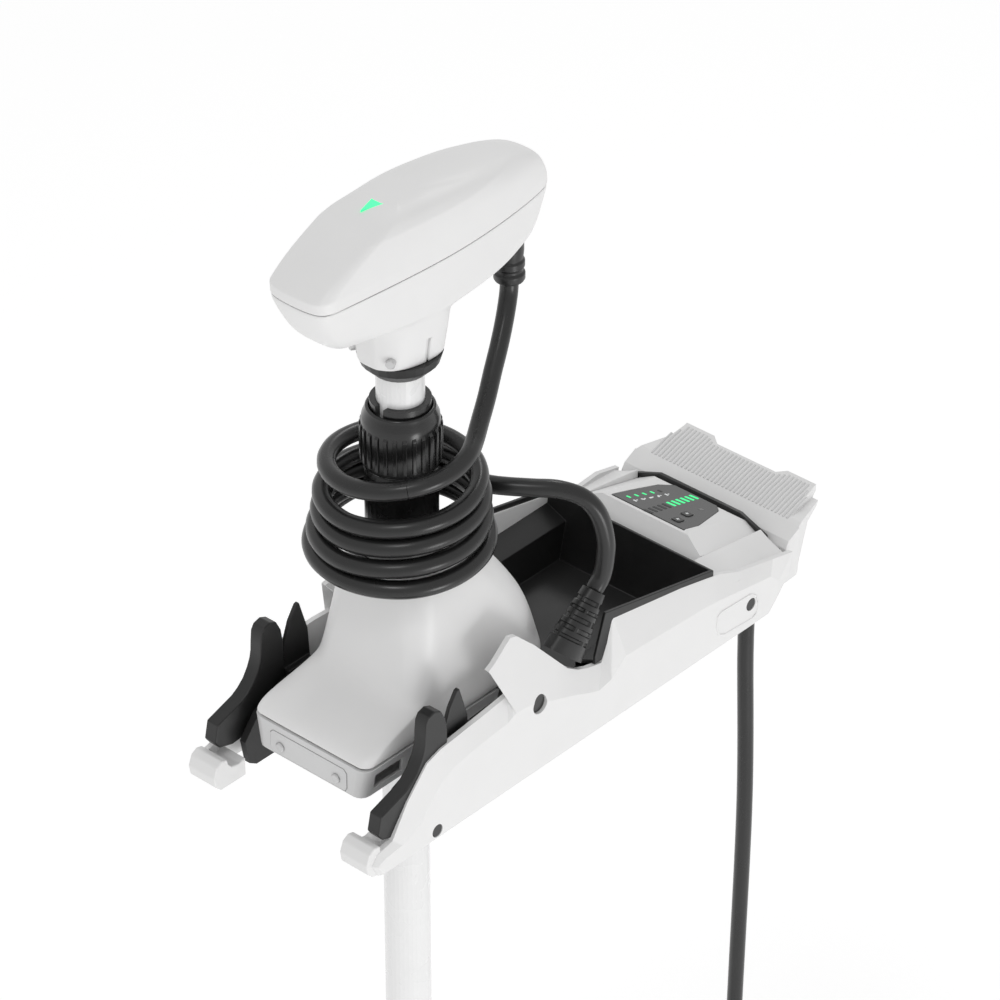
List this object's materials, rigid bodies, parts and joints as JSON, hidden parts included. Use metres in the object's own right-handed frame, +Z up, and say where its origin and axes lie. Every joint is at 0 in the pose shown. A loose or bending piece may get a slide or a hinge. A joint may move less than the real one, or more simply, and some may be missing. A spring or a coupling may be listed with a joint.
{
  "type": "trolling motor",
  "caption": "Bow-mount trolling motor: white flat base with a foot pedal, steering housing, coiled cable, pointer head, long shaft and propeller pod.",
  "frame": {"origin": "on the deck plane under the base, where the shaft's axis crosses it", "axes": "+Z up along the shaft, +Y from the bow towards the foot pedal, +X towards the right-hand side cover"},
  "size_m": [0.2509, 0.597, 1.5932],
  "materials": {
    "white_shell": "satin moulded white",
    "grey_shell": "satin moulded pale grey",
    "black_plastic": "satin black",
    "black_rubber": "soft satin",
    "black_aluminium": "black powder coat",
    "stainless_steel": "brushed",
    "bearing_bronze": "plain",
    "gear_nylon": "natural",
    "dark_lens": "gloss",
    "button_grey": "matte",
    "board_green": "matte",
    "green_light": "glowing",
    "winding_copper": "enamelled"
  },
  "bodies": {
    "mount": {"base_frame": "black_aluminium", "side_cover_left": "white_shell", "side_cover_right": "white_shell", "cover_screw_front_left": "black_plastic", "cover_screw_front_right": "black_plastic", "cover_screw_rear_left": "black_plastic", "cover_screw_rear_right": "black_plastic", "pivot_cap_left": "black_plastic", "pivot_cap_right": "black_plastic", "motor_rest_left": "black_plastic", "motor_rest_right": "black_plastic", "guide_fin_left": "black_plastic", "guide_fin_right": "black_plastic", "well_tray": "black_plastic", "display_cover": "white_shell", "display_lens": "dark_lens", "display_board": "board_green", "pedal_gasket": "black_rubber", "pedal_pin": "stainless_steel", "pedal_spring": "stainless_steel", "pivot_shaft": "stainless_steel", "cable_boot": "black_rubber", "power_grommet": "black_rubber", "power_lead": "black_rubber", "power_plug": "black_plastic", "coil_cable_tail": "black_rubber"},
    "pedal": {"foot_pedal": "white_shell"},
    "release_rod": {"release_rod": "stainless_steel"},
    "mode_button": {"mode_button": "button_grey"},
    "power_button": {"power_button": "button_grey"},
    "steering_housing": {"housing_shell": "white_shell", "housing_lower_cover": "grey_shell", "nameplate": "grey_shell", "nameplate_screw_left": "stainless_steel", "nameplate_screw_right": "stainless_steel", "steer_motor": "black_plastic", "upper_bearing": "bearing_bronze", "lower_bearing": "bearing_bronze", "coil_cable_coil": "black_rubber"},
    "pinion": {"steer_pinion": "stainless_steel"},
    "sleeve": {"steer_sleeve": "black_plastic", "steer_gear": "gear_nylon"},
    "collar": {"depth_collet": "black_plastic"},
    "knob": {"depth_knob": "black_plastic"},
    "shaft": {"shaft_tube": "white_shell", "head_lower_shell": "white_shell", "head_upper_shell": "white_shell", "arrow_light": "green_light", "neck_seal": "black_rubber", "clamp_screw_left": "stainless_steel", "clamp_screw_right": "stainless_steel", "head_gland": "black_rubber", "pod_housing": "white_shell", "pod_nose_cone": "black_plastic", "skeg": "white_shell", "motor_stator": "winding_copper", "coil_cable_lead": "black_rubber"},
    "propeller": {"rotor_shaft": "stainless_steel", "propeller": "black_plastic", "prop_nut": "stainless_steel"}
  },
  "joints": [
    {"name": "stow_pivot", "type": "hinge", "parent": "mount", "child": "steering_housing", "pos_m": [0, 0.048, 0.07], "axis": [-1, 0, 0], "range_deg": [0, 90], "deforming": ["coil_cable_lead", "coil_cable_coil", "coil_cable_tail"]},
    {"name": "steer", "type": "hinge", "parent": "steering_housing", "child": "sleeve", "pos_m": [0, 0, 0.2], "axis": [0, 0, 1], "range_deg": [-180, 180], "deforming": ["coil_cable_lead", "coil_cable_coil", "coil_cable_tail"]},
    {"name": "pinion_turn", "type": "hinge", "parent": "steering_housing", "child": "pinion", "pos_m": [0, -0.045, 0.06], "axis": [0, 0, 1], "range_deg": [-720.5, 720.5]},
    {"name": "shaft_lift", "type": "slide", "parent": "sleeve", "child": "collar", "axis": [0, 0, 1], "range_m": [0, 0.7785], "deforming": ["coil_cable_lead", "coil_cable_coil", "coil_cable_tail"]},
    {"name": "depth_slide", "type": "slide", "parent": "collar", "child": "shaft", "axis": [0, 0, -1], "range_m": [-0.3, 0], "deforming": ["coil_cable_lead", "coil_cable_coil", "coil_cable_tail"]},
    {"name": "knob_turn", "type": "hinge", "parent": "collar", "child": "knob", "pos_m": [0, 0, 0.3], "axis": [0, 0, 1], "range_deg": [0, 90]},
    {"name": "propeller_spin", "type": "hinge", "parent": "shaft", "child": "propeller", "pos_m": [0, 0.1, -0.88], "axis": [0, 1, 0], "continuous": true},
    {"name": "pedal_press", "type": "hinge", "parent": "mount", "child": "pedal", "pos_m": [0, 0.374, 0.03], "axis": [-1, 0, 0], "range_deg": [0, 8], "stiffness_Nm_per_rad": 20, "springref_deg": -6.88},
    {"name": "latch_pull", "type": "slide", "parent": "mount", "child": "release_rod", "axis": [0, 1, 0], "range_m": [0, 0.0062]},
    {"name": "mode_button_press", "type": "slide", "parent": "mount", "child": "mode_button", "axis": [0, -0.2518, -0.9678], "range_m": [0, 0.0008], "stiffness_N_per_m": 400, "springref_m": -0.0006},
    {"name": "power_button_press", "type": "slide", "parent": "mount", "child": "power_button", "axis": [0, -0.2518, -0.9678], "range_m": [0, 0.0008], "stiffness_N_per_m": 400, "springref_m": -0.0006}
  ],
  "couplings": [
    {"joint": "pinion_turn", "follows": "steer", "ratio": -4},
    {"joint": "shaft_lift", "follows": "stow_pivot", "m_per_rad": 0.49529},
    {"joint": "latch_pull", "follows": "pedal_press", "m_per_rad": 0.044}
  ]
}
